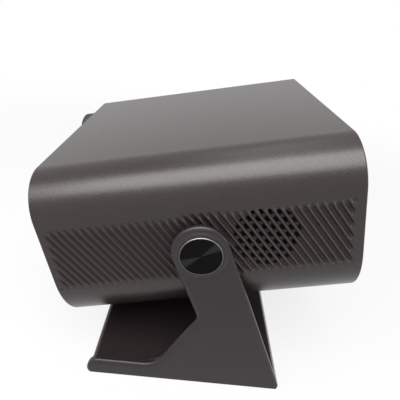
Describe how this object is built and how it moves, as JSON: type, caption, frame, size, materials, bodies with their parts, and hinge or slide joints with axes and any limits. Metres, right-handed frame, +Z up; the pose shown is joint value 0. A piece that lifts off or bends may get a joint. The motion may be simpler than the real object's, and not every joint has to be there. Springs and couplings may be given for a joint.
{
  "type": "portable projector",
  "caption": "Portable projector with a ridged housing, a focus ring and a fan, tilting between the arms of a weighted U-shaped stand.",
  "frame": {"origin": "centre of the object's box, at the level of the table under the foot pads", "axes": "+Z up, the lens looks towards -Y, +X is the projector's left side and runs along the tilt axis"},
  "size_m": [0.2316, 0.2206, 0.176],
  "materials": {
    "housing_plastic": "fine spark-eroded dark grey plastic",
    "stand_plastic": "fine matt dark grey plastic",
    "black_plastic": "matt black plastic",
    "window_plastic": "polished dark red plastic",
    "optical_glass": "coated optical glass",
    "spun_metal": "black anodised, spun face with a bright cut edge",
    "steel": "zinc plated",
    "aluminium": "extruded and cast",
    "engine_plastic": "glass filled black plastic",
    "copper": "bare copper",
    "circuit_board": "green solder resist",
    "rubber": "matt black rubber",
    "nylon": "natural white nylon",
    "speaker_paper": "black paper cone"
  },
  "bodies": {
    "stand": {"stand_frame": "stand_plastic", "ballast_plate": "steel", "base_cover": "black_plastic", "base_screw_1": "steel", "base_screw_2": "steel", "base_screw_3": "steel", "base_screw_4": "steel", "foot_pad_front_left": "rubber", "foot_pad_back_left": "rubber", "foot_pad_front_right": "rubber", "foot_pad_back_right": "rubber", "pivot_bush_left": "nylon", "pivot_bush_right": "nylon", "friction_washer_left": "nylon", "friction_washer_right": "nylon", "pivot_cap_left": "spun_metal", "pivot_cap_right": "spun_metal"},
    "projector": {"housing_sleeve": "housing_plastic", "front_panel": "black_plastic", "ir_window": "window_plastic", "rear_panel": "black_plastic", "rear_screw_1": "steel", "rear_screw_2": "steel", "rear_screw_3": "steel", "rear_screw_4": "steel", "lens_tube": "black_plastic", "optical_engine": "engine_plastic", "light_source_board": "copper", "heat_sink": "aluminium", "fan_frame": "black_plastic", "speaker_left": "speaker_paper", "speaker_right": "speaker_paper", "main_board": "circuit_board", "power_board": "circuit_board", "power_transformer": "steel", "processor_heat_sink": "aluminium", "chassis_tray": "aluminium", "hdmi_socket": "steel", "usb_socket": "steel", "audio_socket": "black_plastic", "power_inlet": "black_plastic", "inlet_pin_left": "steel", "inlet_pin_right": "steel", "pivot_plate_left": "steel", "pivot_plate_right": "steel", "pivot_bolt_left": "steel", "pivot_bolt_right": "steel"},
    "focus_control": {"focus_ring": "black_plastic"},
    "lens_group": {"lens_cell": "black_plastic", "front_lens": "optical_glass", "rear_lens": "optical_glass"},
    "fan": {"fan_rotor": "black_plastic"},
    "button": {"power_button": "stand_plastic"}
  },
  "joints": [
    {"name": "tilt", "type": "hinge", "parent": "stand", "child": "projector", "pos_m": [0, 0.0065, 0.103], "axis": [1, 0, 0], "range_deg": [-36, 8.5]},
    {"name": "focus", "type": "hinge", "parent": "projector", "child": "focus_control", "pos_m": [-0.069, -0.08723, 0.09647], "axis": [0, 0.9699, 0.2436], "range_deg": [-60, 60]},
    {"name": "lens_slide", "type": "slide", "parent": "projector", "child": "lens_group", "axis": [0, 0.9699, 0.2436], "range_m": [-0.0021, 0.0021]},
    {"name": "fan_spin", "type": "hinge", "parent": "projector", "child": "fan", "pos_m": [-0.057, 0.08202, 0.13073], "axis": [0, 0.9699, 0.2436], "continuous": true},
    {"name": "power_press", "type": "slide", "parent": "projector", "child": "button", "axis": [0, -0.9699, -0.2436], "range_m": [0, 0.001], "stiffness_N_per_m": 600, "springref_m": -0.001}
  ],
  "couplings": [
    {"joint": "lens_slide", "follows": "focus", "m_per_rad": 0.0019}
  ]
}
